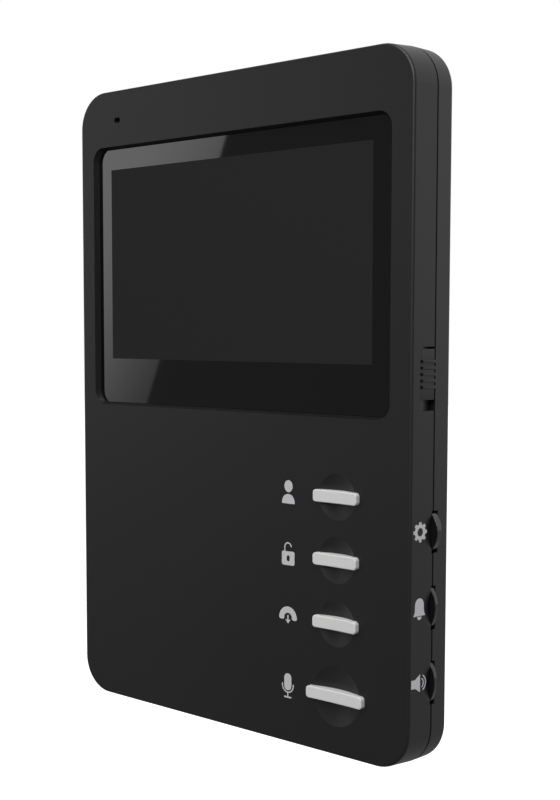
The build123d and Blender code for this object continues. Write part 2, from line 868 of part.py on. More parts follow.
def microphone_parts():
    cup = rod(microphone_x, microphone_z, boot_radius, plate_y, plate_y + boot_height)
    seat_y = plate_y + boot_front
    cup -= rod(microphone_x, microphone_z, boot_hole_radius, plate_y, seat_y)
    cup -= rod(microphone_x, microphone_z, microphone_radius, seat_y, plate_y + boot_height)
    capsule_back_y = seat_y + microphone_height
    header_top = board_top - board_corner_clear
    return {
        "microphone_boot": cup,
        "microphone": rod(microphone_x, microphone_z, microphone_radius, seat_y, capsule_back_y),
        "microphone_leads": leads(
            microphone_x, capsule_back_y, microphone_z, board_back_y + header_height / 2, header_top
        ),
        "microphone_header": header(microphone_x, header_top),
    }


def header(x, top):
    """A two-pin board header: its leads go in at the top edge."""
    half = header_width / 2
    back_y = board_back_y + header_height
    return block(x - half, x + half, board_back_y, back_y, top - header_length, top)


def leads(x, start_y, start_z, run_y, end_z):
    """Two wires that leave backwards, turn down once and run straight to a header."""
    wires = []
    for side in (-1, 1):
        wire_x = x + side * lead_pitch / 2
        route = FilletPolyline(
            (wire_x, start_y, start_z),
            (wire_x, run_y, start_z),
            (wire_x, run_y, end_z),
            radius=lead_bend * abs(run_y - start_y),
        )
        section = Plane(origin=route @ 0, z_dir=route % 0) * Circle(lead_radius)
        wires.append(sweep(section, path=route))
    return wires


def speaker_parts():
    front_y, back_y = speaker_front_y, speaker_back_y
    floor_y = front_y + speaker_frame_floor
    bore = speaker_radius - speaker_rim_wall
    frame = rod(0, speaker_z, speaker_radius, front_y, back_y)
    frame -= rod(0, speaker_z, bore, floor_y, back_y)
    frame -= rod(0, speaker_z, speaker_dome_radius, front_y, floor_y)
    terminal_z = speaker_z - bore
    half = lead_pitch
    terminal_y = front_y - header_height / 2
    terminal_top = terminal_z + terminal_length
    frame += block(-half, half, terminal_y, front_y, terminal_z, terminal_top)
    cone_y = floor_y + speaker_cone_thickness
    cone = rod(0, speaker_z, bore - running_gap, cone_y, cone_y + speaker_cone_thickness)
    dome_radius = (speaker_dome_radius**2 + speaker_dome_height**2) / (2 * speaker_dome_height)
    ball_y = cone_y + speaker_cone_thickness + speaker_dome_height - dome_radius
    dome = Pos(0, ball_y, speaker_z) * Sphere(dome_radius)
    cone += dome & rod(0, speaker_z, speaker_dome_radius, cone_y, back_y)
    header_top = board_top - board_corner_clear - connector_length - board_corner_clear
    run_y = front_y - header_height / 4
    wires = [
        Pos(side * lead_pitch / 2, run_y, (header_top + terminal_z) / 2)
        * Cylinder(lead_radius, terminal_z - header_top)
        for side in (-1, 1)
    ]
    magnet = rod(0, speaker_z, speaker_magnet_radius, front_y - speaker_magnet_depth, front_y)
    screws = [
        screw(
            x,
            z,
            speaker_screw_radius,
            rear_inner_y - touch_gap,
            speaker_front_y,
            speaker_screw_head_radius,
            speaker_front_y - speaker_screw_head_height,
        )
        for x, z in speaker_screws
    ]
    return {
        "speaker_frame": frame,
        "speaker_magnet": magnet,
        "speaker_cone": cone,
        "speaker_gasket": tube(0, speaker_z, speaker_radius, bore, back_y, rear_inner_y),
        "speaker_mesh": rod(
            0, speaker_z, bore - running_gap, rear_inner_y - speaker_mesh_thickness, rear_inner_y
        ),
        "speaker_leads": wires,
        "speaker_header": header(0, header_top),
        "speaker_screws": screws,
    }


def fastener_parts():
    screws = [
        screw(
            x,
            z,
            cover_screw_radius,
            seam_y - cover_screw_grip + touch_gap,
            screw_seat_y,
            cover_screw_head_radius,
            screw_seat_y + cover_screw_head_height,
        )
        for x, z in screw_places
    ]
    return {"cover_screws": screws}


def wall_bracket():
    plate = rounded(bracket_width, bracket_height, bracket_radius)
    plate -= rounded(wiring_width, wiring_height, wiring_radius)
    for x in (-1, 1):
        for z in (-1, 1):
            place = Pos(x * wall_screw_spacing_x / 2, z * wall_screw_spacing_z / 2)
            plate -= place * Circle(wall_screw_radius)
    for z in (-1, 1):
        slot = SlotOverall(box_slot_length, 2 * box_slot_radius)
        plate -= Pos(0, z * box_slot_spacing / 2) * Rot(0, 0, 90) * slot
    for x, z in hooks:
        plate -= Pos(x, z - hook_window / 2) * Rectangle(hook_width, hook_window)
    bracket = slab(plate, -bracket_thickness, 0)
    for x, z in hooks:
        left, right = x - hook_width / 2, x + hook_width / 2
        leg_top = z + bracket_thickness
        bracket += block(left, right, nose_front_y, 0, z, leg_top)
        bracket += block(left, right, nose_front_y, nose_back_y, z, leg_top + hook_nose)
    return bracket


parts = {
    "front_cover": front_cover(),
    "rear_cover": rear_cover(),
    "wall_bracket": wall_bracket(),
    **screen_parts(),
    **key_parts(),
    **volume_parts(),
    **menu_parts(),
    **slider_parts(),
    **board_parts(),
    **microphone_parts(),
    **speaker_parts(),
    **fastener_parts(),
}

os.makedirs("parts", exist_ok=True)
for name, shape in parts.items():
    solid = Compound(children=list(shape)) if isinstance(shape, list) else shape
    export_step(solid, f"parts/{name}.step")
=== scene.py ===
import json
import math
import bpy
from mathutils import Matrix, Vector


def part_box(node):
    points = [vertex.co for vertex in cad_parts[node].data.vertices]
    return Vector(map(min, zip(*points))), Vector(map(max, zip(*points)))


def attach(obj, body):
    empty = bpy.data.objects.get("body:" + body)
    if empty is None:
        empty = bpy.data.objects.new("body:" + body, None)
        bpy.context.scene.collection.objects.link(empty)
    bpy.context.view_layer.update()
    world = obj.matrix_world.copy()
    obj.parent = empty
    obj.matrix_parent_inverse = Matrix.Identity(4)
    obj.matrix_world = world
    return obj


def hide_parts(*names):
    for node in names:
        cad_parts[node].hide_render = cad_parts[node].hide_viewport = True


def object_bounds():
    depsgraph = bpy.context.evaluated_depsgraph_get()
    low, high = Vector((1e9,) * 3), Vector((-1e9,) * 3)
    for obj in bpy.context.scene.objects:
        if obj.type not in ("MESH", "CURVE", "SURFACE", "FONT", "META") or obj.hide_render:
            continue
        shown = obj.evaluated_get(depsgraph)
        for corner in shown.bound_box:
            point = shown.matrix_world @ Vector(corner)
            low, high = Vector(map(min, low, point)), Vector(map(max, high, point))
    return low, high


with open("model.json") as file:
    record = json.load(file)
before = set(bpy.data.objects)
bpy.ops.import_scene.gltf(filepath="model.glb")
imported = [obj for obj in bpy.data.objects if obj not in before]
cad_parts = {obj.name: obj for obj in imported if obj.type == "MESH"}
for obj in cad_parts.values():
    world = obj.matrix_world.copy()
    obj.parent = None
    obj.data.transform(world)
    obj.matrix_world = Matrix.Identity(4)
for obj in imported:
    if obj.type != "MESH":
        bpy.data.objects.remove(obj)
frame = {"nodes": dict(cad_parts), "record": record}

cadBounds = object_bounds()
mm = 0.001
nodes = frame["nodes"]
print("frame loaded:", len(nodes), "nodes")


class Val:
    # a node's output that can stand in a sum
    def __init__(self, nodes, socket):
        self.nodes = nodes
        self.socket = socket

    def sum(self, operation, other, swapped=False):
        pair = (other, self) if swapped else (self, other)
        return self.nodes.node("Math", {"operation": operation}, {0: pair[0], 1: pair[1]})

    def __add__(self, other): return self.sum("ADD", other)
    def __radd__(self, other): return self.sum("ADD", other, True)
    def __sub__(self, other): return self.sum("SUBTRACT", other)
    def __rsub__(self, other): return self.sum("SUBTRACT", other, True)
    def __mul__(self, other): return self.sum("MULTIPLY", other)
    def __rmul__(self, other): return self.sum("MULTIPLY", other, True)
    def __truediv__(self, other): return self.sum("DIVIDE", other)
    def __gt__(self, other): return self.sum("GREATER_THAN", other)
    def __lt__(self, other): return self.sum("LESS_THAN", other)
    def __abs__(self): return self.sum("ABSOLUTE", 0.0)


class Nodes:
    # adds nodes to one node tree
    def __init__(self, tree):
        self.tree = tree

    def node(self, kind, settings=None, inputs=None, out=0):
        made = self.tree.nodes.new("ShaderNode" + kind)
        for key, value in (settings or {}).items():
            setattr(made, key, value)
        for key, value in (inputs or {}).items():
            if isinstance(value, Val):
                self.tree.links.new(value.socket, made.inputs[key])
            else:
                made.inputs[key].default_value = value
        return Val(self, made.outputs[out])

    def split(self, vector):
        parts = self.node("SeparateXYZ", {}, {0: vector}).socket.node
        return [Val(self, socket) for socket in parts.outputs]

    def rise(self, value, low, high, top=1.0):
        # a smooth climb from 0 to top while value goes from low to high
        limits = {"Value": value, "From Min": low, "From Max": high, "To Max": top}
        return self.node("MapRange", {"interpolation_type": "SMOOTHSTEP"}, limits)


lumpShare = 0.6  # a noise of scale 1 has lumps this wide


class Finish(Nodes):
    # a material with one principled shader
    def __init__(self, name, **constants):
        self.material = bpy.data.materials.new(name)
        self.material.use_nodes = True
        super().__init__(self.material.node_tree)
        self.shader = self.tree.nodes["Principled BSDF"]
        for key, value in constants.items():
            self.shader.inputs[key.replace("_", " ")].default_value = value

    def feed(self, name, value):
        self.tree.links.new(value.socket, self.shader.inputs[name])

    def place(self):
        return self.node("TexCoord", out="Object")

    def noise(self, size, detail=2.0, stretch=None):
        # noise whose lumps are about size metres across
        where = self.place()
        if stretch:
            where = self.node("Mapping", {}, {"Vector": where, "Scale": stretch})
        return self.node("TexNoise", {}, {"Vector": where, "Scale": lumpShare / size, "Detail": detail})

    def mixColour(self, factor, first, second):
        return self.node("Mix", {"data_type": "RGBA"}, {0: factor, 6: first, 7: second}, out=2)

    def bump(self, height, strength, distance):
        made = self.node("Bump", {}, {"Height": height, "Strength": strength, "Distance": distance})
        self.feed("Normal", made)


def shade(colour, gain):
    return (colour[0] * gain, colour[1] * gain, colour[2] * gain, 1)


# grained: two noises vary the colour and the roughness, and a fine one raises the surface
def grained(name, look):
    colour = look["colour"]
    finish = Finish(name, Metallic=look.get("metallic", 0.0), IOR=look.get("ior", 1.5))
    broad = finish.noise(look.get("patch", 0.02), 3.0)
    fine = finish.noise(look.get("grain", 0.0004), 2.0, look.get("stretch"))
    spread = look.get("spread", 0.12)
    mix = finish.mixColour(broad, shade(colour, 1 - spread), shade(colour, 1 + spread))
    finish.feed("Base Color", mix)
    rough = look["rough"] + (broad - 0.5) * look.get("roughSpread", 0.06) + (fine - 0.5) * 0.04
    finish.feed("Roughness", rough)
    finish.bump(fine, look.get("bump", 0.2), look.get("depth", 0.00003))
    return finish.material


# colours are linear; grain and patch are lump sizes in metres
caseLook = {"colour": (0.0075, 0.0075, 0.0078), "rough": 0.44, "grain": 0.00028, "patch": 0.03, "bump": 0.2}
controlLook = {
    "colour": (0.007, 0.007, 0.0072), "rough": 0.14, "ior": 1.62, "grain": 0.0002, "bump": 0.02,
    "roughSpread": 0.02,
}
keyLook = {"colour": (0.74, 0.74, 0.735), "rough": 0.42, "grain": 0.00025, "bump": 0.12, "spread": 0.02}
steelLook = {
    "colour": (0.56, 0.57, 0.58), "metallic": 1.0, "rough": 0.34, "grain": 0.0006, "stretch": (1, 1, 0.08),
    "bump": 0.15, "spread": 0.10, "patch": 0.006, "roughSpread": 0.2,
}
looks = {
    "case_plastic": caseLook,
    "control_plastic": controlLook,
    "key_plastic": keyLook,
    "bracket_steel": steelLook,
    "tape": {"colour": (0.012, 0.012, 0.012), "rough": 0.8, "grain": 0.0005},
    "panel_metal": {"colour": (0.6, 0.6, 0.6), "metallic": 1.0, "rough": 0.3, "stretch": (0.05, 1, 1)},
    "panel_glass": {"colour": (0.02, 0.02, 0.022), "rough": 0.12, "spread": 0.05},
    "light_guide": {"colour": (0.85, 0.85, 0.82), "rough": 0.3, "spread": 0.03},
    "flex_film": {"colour": (0.42, 0.20, 0.03), "rough": 0.35, "grain": 0.0009},
    "switch_plunger": {"colour": (0.7, 0.7, 0.66), "rough": 0.4},
    "component_black": {"colour": (0.018, 0.018, 0.018), "rough": 0.5, "grain": 0.00015},
    "plated_steel": {"colour": (0.62, 0.62, 0.63), "metallic": 1.0, "rough": 0.28, "spread": 0.08},
    "screw_steel": {"colour": (0.30, 0.30, 0.31), "metallic": 1.0, "rough": 0.38, "patch": 0.002},
    "socket_nylon": {"colour": (0.80, 0.78, 0.70), "rough": 0.45, "spread": 0.04},
    "pin_brass": {"colour": (0.80, 0.62, 0.26), "metallic": 1.0, "rough": 0.22},
    "capacitor_can": {"colour": (0.75, 0.75, 0.77), "metallic": 1.0, "rough": 0.25, "stretch": (1, 0.1, 1)},
    "ferrite": {"colour": (0.05, 0.05, 0.055), "rough": 0.62, "grain": 0.0003, "bump": 0.4},
    "soft_rubber": {"colour": (0.02, 0.02, 0.02), "rough": 0.75, "grain": 0.0004, "bump": 0.35},
    "capsule_metal": {"colour": (0.72, 0.72, 0.73), "metallic": 1.0, "rough": 0.3},
    "lead_insulation": {"colour": (0.35, 0.02, 0.02), "rough": 0.45, "spread": 0.05},
    "speaker_frame": {"colour": (0.03, 0.03, 0.03), "rough": 0.45},
    "speaker_paper": {"colour": (0.05, 0.048, 0.045), "rough": 0.85, "grain": 0.0005, "bump": 0.5},
}
finishes = {slot: grained(slot, look) for slot, look in looks.items()}


boardLook = {
    "mask": (0.006, 0.075, 0.028, 1), "track": (0.012, 0.13, 0.05, 1), "block": 0.006, "pitch": 0.0006,
    "rough": 0.3, "roughSpread": 0.1, "haze": 0.004, "bump": 0.3, "depth": 0.00004,
}


# circuit board: solder mask over rows of tracks
def boardFinish():
    look = boardLook
    finish = Finish("board_green", IOR=1.5)
    x, _, z = finish.split(finish.place())
    blocks = finish.noise(look["block"], 0.0) > 0.5
    across = x * blocks + z * (1 - blocks)
    lines = finish.node("Math", {"operation": "PINGPONG"}, {0: across, 1: look["pitch"]})
    track = lines > look["pitch"] / 2
    finish.feed("Base Color", finish.mixColour(track, look["mask"], look["track"]))
    finish.feed("Roughness", look["rough"] + finish.noise(look["haze"]) * look["roughSpread"])
    finish.bump(track, look["bump"], look["depth"])
    return finish.material


clothLook = {
    "gap": (0.004, 0.004, 0.004, 1), "thread": (0.03, 0.03, 0.03, 1), "pitch": 0.00025, "rough": 0.9,
    "bump": 0.6, "depth": 0.00008,
}


# dust cloth: a plain weave
def meshFinish():
    look = clothLook
    finish = Finish("mesh_cloth")
    x, _, z = finish.split(finish.place())
    pitch = look["pitch"]
    across = finish.node("Math", {"operation": "PINGPONG"}, {0: x, 1: pitch}) / pitch
    along = finish.node("Math", {"operation": "PINGPONG"}, {0: z, 1: pitch}) / pitch
    thread = finish.node("Math", {"operation": "MAXIMUM"}, {0: across, 1: along})
    finish.feed("Base Color", finish.mixColour(thread, look["gap"], look["thread"]))
    finish.feed("Roughness", look["rough"] - thread * 0.1)
    finish.bump(thread, look["bump"], look["depth"])
    return finish.material


finishes["board_green"] = boardFinish()
finishes["mesh_cloth"] = meshFinish()

paneLook = {
    "border": (0.0030, 0.0030, 0.0032, 1), "picture": (0.0252, 0.0252, 0.0254, 1), "rough": 0.5,
    "roughSpread": 0.05, "haze": 0.01, "coatRough": 0.02, "coatIor": 1.49,
    "width": 94.44 * mm, "height": 53.1 * mm, "shiftX": -0.53 * mm, "shiftZ": 3.41 * mm,
}


# window: glossy printed border round a matt picture area
def paneFinish():
    look = paneLook
    low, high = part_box("screen_window")
    centreX = (low[0] + high[0]) / 2 + look["shiftX"]
    centreZ = (low[2] + high[2]) / 2 + look["shiftZ"]
    coat = {"Coat_Roughness": look["coatRough"], "Coat_IOR": look["coatIor"]}
    finish = Finish("window_acrylic", Specular_IOR_Level=0.0, **coat)
    x, _, z = finish.split(finish.place())
    picture = (abs(x - centreX) < look["width"] / 2) * (abs(z - centreZ) < look["height"] / 2)
    haze = finish.noise(look["haze"])
    finish.feed("Base Color", finish.mixColour(picture, look["border"], look["picture"]))
    finish.feed("Coat Weight", 1 - picture)
    finish.feed("Roughness", look["rough"] + haze * look["roughSpread"])
    return finish.material


finishes["window_acrylic"] = paneFinish()
markLook = {"colour": (0.60, 0.60, 0.62), "rough": 0.5, "grain": 0.0002, "bump": 0.1, "spread": 0.03}
finishes["mark_print"] = grained("mark_print", markLook)

slotOf = {row["node"]: row["material_slot"] for row in frame["record"]["subparts"]}
for name, item in nodes.items():
    item.data.materials.clear()
    item.data.materials.append(finishes[slotOf[name]])
print("finishes made:", len(finishes))


def clearSelection():
    bpy.ops.object.select_all(action="DESELECT")


def editAll():
    bpy.ops.object.mode_set(mode="EDIT")
    bpy.ops.mesh.select_all(action="SELECT")


def leaveEdit():
    bpy.ops.object.mode_set(mode="OBJECT")
    return bpy.context.object


def applyModifier(item, kind, **settings):
    clearSelection()
    item.select_set(True)
    bpy.context.view_layer.objects.active = item
    made = item.modifiers.new(kind.title(), kind)
    for key, value in settings.items():
        setattr(made, key, value)
    bpy.ops.object.modifier_apply(modifier=made.name)


# flat outlines in the drawing plane, in millimetres, raised to the print's thickness
printLook = {"thickness": 0.05, "sunk": 0.02, "cutMargin": 1.0, "arcSteps": 24}


def raiseOutline(height):
    editAll()
    bpy.ops.mesh.extrude_region_move(TRANSFORM_OT_translate={"value": (0, 0, height)})
    bpy.ops.mesh.select_all(action="SELECT")
    bpy.ops.mesh.normals_make_consistent(inside=False)
    item = leaveEdit()
    bpy.ops.object.transform_apply(location=True, rotation=True, scale=True)
    return item


def oval(x, y, width, height, sides=48):
    clearSelection()
    bpy.ops.mesh.primitive_circle_add(vertices=sides, radius=0.5, fill_type="NGON", location=(x, y, 0))
    bpy.context.object.scale = (width, height, 1)
    bpy.ops.object.transform_apply(location=True, scale=True)
    return raiseOutline(printLook["thickness"])


def bar(x, y, width, height, radius=0.0, turn=0.0):
    clearSelection()
    bpy.ops.mesh.primitive_plane_add(size=1, location=(0, 0, 0))
    bpy.context.object.scale = (width, height, 1)
    bpy.ops.object.transform_apply(scale=True)
    if radius:
        editAll()
        bpy.ops.mesh.bevel(offset=radius, segments=6, affect="VERTICES")
        leaveEdit()
    item = raiseOutline(printLook["thickness"])
    item.matrix_world = Matrix.Translation((x, y, 0)) @ Matrix.Rotation(math.radians(turn), 4, "Z")
    bpy.ops.object.transform_apply(location=True, rotation=True)
    return item


def polygon(points):
    # one corner is kept and drawn out from point to point, then the outline is filled
    clearSelection()
    bpy.ops.mesh.primitive_plane_add(size=0.1, location=(points[0][0], points[0][1], 0))
    bpy.ops.object.transform_apply(location=True)
    editAll()
    bpy.ops.mesh.merge(type="CENTER")
    for (x, y), (nextX, nextY) in zip(points, points[1:]):
        bpy.ops.mesh.extrude_region_move(TRANSFORM_OT_translate={"value": (nextX - x, nextY - y, 0)})
    bpy.ops.mesh.select_all(action="SELECT")
    bpy.ops.mesh.edge_face_add()
    leaveEdit()
    return raiseOutline(printLook["thickness"])


def arcBand(x, y, radius, width, start, end):
    # a round-ended band bent round an arc, from start to end degrees
    clearSelection()
    bpy.ops.mesh.primitive_plane_add(size=1, location=(0, 0, 0))
    for corner in bpy.context.object.data.vertices:
        corner.co = (radius + (width / 2 if corner.co.x > 0 else -width / 2), 0, 0)
    editAll()
    bpy.ops.mesh.remove_doubles(threshold=0.0001)
    bpy.ops.mesh.delete(type="ONLY_FACE")
    bpy.ops.mesh.select_all(action="SELECT")
    bpy.ops.transform.rotate(value=-math.radians(start), orient_axis="Z", center_override=(0, 0, 0))
    bpy.ops.mesh.spin(
        steps=printLook["arcSteps"], angle=math.radians(start - end), center=(0, 0, 0), axis=(0, 0, 1)
    )
    leaveEdit()
    item = raiseOutline(printLook["thickness"])
    item.matrix_world = Matrix.Translation((x, y, 0))
    bpy.ops.object.transform_apply(location=True)
    pieces = [item]
    for turn in (start, end):
        angle = math.radians(turn)
        pieces.append(oval(x + radius * math.cos(angle), y + radius * math.sin(angle), width, width, 24))
    return pieces


def combine(pieces, operation):
    first = pieces[0]
    for other in pieces[1:]:
        applyModifier(first, "BOOLEAN", operation=operation, object=other, solver="EXACT")
        bpy.data.objects.remove(other)
    return first


def deepen(piece):
    # a cutter reaches past both faces of the print
    margin = printLook["cutMargin"]
    piece.matrix_world = Matrix.Translation((0, 0, -margin / 2)) @ Matrix.Diagonal((1, 1, margin * 20, 1))
    clearSelection()
    piece.select_set(True)
    bpy.context.view_layer.objects.active = piece
    bpy.ops.object.transform_apply(location=True, scale=True)
    return piece


def finishPrint(name, place, adds, cuts=(), later=()):
    # adds are joined, cuts taken out, and then later ones joined too
    item = combine(list(adds), "UNION")
    item = combine([item, *[deepen(cut) for cut in cuts]], "DIFFERENCE")
    item = combine([item, *later], "UNION")
    clearSelection()
    item.select_set(True)
    bpy.context.view_layer.objects.active = item
    sunk = Matrix.Translation((0, 0, -printLook["sunk"]))
    item.matrix_world = place @ Matrix.Diagonal((mm, mm, mm, 1)) @ sunk
    bpy.ops.object.transform_apply(location=True, rotation=True, scale=True)
    item.name = name
    item.data.name = name
    item.data.materials.append(finishes["mark_print"])
    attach(item, "monitor")
    return item


frontLow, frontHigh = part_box("front_cover")
faceY = frontLow[1]
seamY = frontHigh[1]
wallLean = math.atan(0.6 / 8.0)  # the front cover's walls lean out by 0.6 mm in 8


def onFace(x, z):
    return Matrix(((1, 0, 0, x), (0, 0, -1, faceY), (0, 1, 0, z), (0, 0, 0, 1)))


def onSide(depth, z):
    # depth is metres behind the front face, along the leaning right wall
    lean = wallLean
    y = faceY + depth
    x = frontHigh[0] - math.tan(lean) * (seamY - y)
    return Matrix((
        (math.sin(lean), 0, math.cos(lean), x),
        (math.cos(lean), 0, -math.sin(lean), y),
        (0, 1, 0, z),
        (0, 0, 0, 1),
    ))


# where the marks stand: x on the face, depth behind it on the side wall
markPlaces = {"x": 21.0 * mm, "sideDepth": 3.55 * mm}


def beside(name):
    # on the face, level with a key
    low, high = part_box(name)
    return onFace(markPlaces["x"], (low[2] + high[2]) / 2)


def ahead(name, lift):
    # on the side wall, lift millimetres above the middle of a wheel
    low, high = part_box(name)
    return onSide(markPlaces["sideDepth"], (low[2] + high[2]) / 2 + lift * mm)


# in each mark's look, an oval or a bar is its middle, width and height, in mm,
# and a bar may have a corner radius after them
personLook = {"head": (0.05, 1.42, 2.75, 3.05), "shoulders": (0, -2.75, 4.3, 4.4), "below": (0, -4.5, 8, 3)}


def personMark():
    look = personLook
    head = oval(*look["head"])
    shoulders = oval(*look["shoulders"])
    below = bar(*look["below"])
    finishPrint("mark_person", beside("view_key"), [shoulders], [below], [head])


padlockLook = {
    "body": (0, -1.22, 4.3, 3.55, 0.5), "hole": (0, -1.25, 1.0, 1.45, 0.35), "leg": (-1.15, 1.1, 0.34, 1.1),
    "shackle": (-0.05, 1.6, 1.1, 0.34, 12, 180),  # middle, radius, width, first and last degrees
}


def padlockMark():
    look = padlockLook
    body = bar(*look["body"])
    hole = bar(*look["hole"])
    shackle = arcBand(*look["shackle"])
    leg = bar(*look["leg"])
    finishPrint("mark_padlock", beside("unlock_key"), [body], [hole], [leg, *shackle])


handsetLook = {
    "arch": (0, -0.85, 6.0, 5.9), "hollow": (0, -0.85, 2.7, 2.7), "below": (0, -2.85, 8, 4),
    "endPlace": (2.15, -0.62), "endSize": (1.75, 1.35, 0.55), "stem": (0, -0.75, 0.42, 1.3),
    "point": [(-0.85, -1.25), (0, -2.3), (0.85, -1.25)],
}


def handsetMark():
    look = handsetLook
    arch = oval(*look["arch"])
    hollow = oval(*look["hollow"])
    below = bar(*look["below"])
    endX, endY = look["endPlace"]
    ends = [bar(side * endX, endY, *look["endSize"]) for side in (-1, 1)]
    stem = bar(*look["stem"])
    point = polygon(look["point"])
    finishPrint("mark_handset", beside("hang_up_key"), [arch], [below, hollow], [*ends, stem, point])


microphoneLook = {
    "capsule": (0, 0.85, 2.45, 4.4, 1.2), "cup": (0, 0.0, 1.85, 0.34, 172, 368), "stem": (0, -2.5, 0.36, 1.1),
    "foot": (0, -3.12, 2.45, 0.4, 0.18),
}


def microphoneMark():
    look = microphoneLook
    capsule = bar(*look["capsule"])
    cup = arcBand(*look["cup"])
    stem = bar(*look["stem"])
    foot = bar(*look["foot"])
    finishPrint("mark_microphone", beside("talk_key"), [*cup, stem, foot], [], [capsule])


gearLook = {
    "hub": (0, 0, 3.8, 3.8), "hole": (0, 0, 2.0, 2.0), "teeth": 8, "reach": 1.95, "tooth": (0.9, 0.85, 0.18),
    "lift": 0.42,
}


def gearMark():
    look = gearLook
    hub = oval(*look["hub"])
    hole = oval(*look["hole"])
    turns = [math.radians(step * 360 / look["teeth"]) for step in range(look["teeth"])]
    reach = look["reach"]
    teeth = [
        bar(reach * math.cos(turn), reach * math.sin(turn), *look["tooth"], math.degrees(turn))
        for turn in turns
    ]
    finishPrint("mark_gear", ahead("menu_wheel", look["lift"]), [hub, *teeth], [hole])


bellLook = {
    "dome": (0, 0.95, 3.1, 3.3), "clapper": (0, -1.95, 1.5, 1.3, 24), "above": (0, -1.4, 3, 0.85), "lift": 0.33,
    "skirt": [
        (-1.55, 0.95), (-1.62, -0.5), (-1.8, -1.05), (-2.15, -1.65),
        (2.15, -1.65), (1.8, -1.05), (1.62, -0.5), (1.55, 0.95),
    ],
}


def bellMark():
    look = bellLook
    dome = oval(*look["dome"])
    skirt = polygon(look["skirt"])
    clapper = oval(*look["clapper"])
    above = bar(*look["above"])
    place = ahead("ring_volume_wheel", look["lift"])
    finishPrint("mark_bell", place, [dome, skirt])
    finishPrint("mark_bell_clapper", place, [clapper], [above])


loudspeakerLook = {
    "box": (-1.85, 0, 1.6, 2.1), "horn": [(-1.3, 1.05), (0.5, 2.15), (0.5, -2.15), (-1.3, -1.05)], "lift": 0.68,
    "soundX": 0.45, "soundWidth": 0.3,
    "sounds": {"mark_sound_near": (1.25, 52), "mark_sound_far": (2.05, 56)},  # radius, half angle
}


def loudspeakerMark():
    look = loudspeakerLook
    back = bar(*look["box"])
    horn = polygon(look["horn"])
    place = ahead("talk_volume_wheel", look["lift"])
    finishPrint("mark_loudspeaker", place, [back, horn])
    for name, (radius, half) in look["sounds"].items():
        finishPrint(name, place, arcBand(look["soundX"], 0, radius, look["soundWidth"], -half, half))


for make in (personMark, padlockMark, handsetMark, microphoneMark, gearMark, bellMark, loudspeakerMark):
    make()
print("marks printed")


# in mm; nose is from the front face, and other places along the wall are from the nose
knobLook = {
    "nose": 3.2, "floorDrop": 1.53, "back": 4.81, "thick": 1.7, "lift": 0.12, "edge": 0.12,
    "ribs": 5, "pitch": 1.52, "ribWidth": 0.78, "ribFront": 0.62, "ribBack": 5.25, "ribProud": 0.16,
    "ribSunk": 0.3, "ribRound": 0.15, "dimple": 0.34, "dimplePlace": 0.26,
    "stemFront": 1.02, "stemDepth": 2.0, "stemWidth": 3.2, "stemTop": -0.8,
    "edgeSteps": 3, "ribSteps": 4, "dimpleSides": 20, "smooth": 35,
}


def box(x, y, z, width, depth, height):
    clearSelection()
    bpy.ops.mesh.primitive_cube_add(size=1, location=(x, y, z))
    bpy.context.object.scale = (width, depth, height)
    bpy.ops.object.transform_apply(location=True, scale=True)
    return bpy.context.object


def roundEdges(item, reach, segments, test):
    # rounds the edges whose two ends pass the test
    clearSelection()
    item.select_set(True)
    bpy.context.view_layer.objects.active = item
    bpy.ops.object.mode_set(mode="EDIT")
    bpy.ops.mesh.select_all(action="DESELECT")
    bpy.ops.mesh.select_mode(type="EDGE")
    bpy.ops.object.mode_set(mode="OBJECT")
    for edge in item.data.edges:
        edge.select = test(*[item.data.vertices[index].co for index in edge.vertices])
    bpy.ops.object.mode_set(mode="EDIT")
    bpy.ops.mesh.bevel(offset=reach, segments=segments)
    bpy.ops.mesh.select_mode(type="VERT")
    leaveEdit()


slack = 0.01  # mm, for picking edges by their place


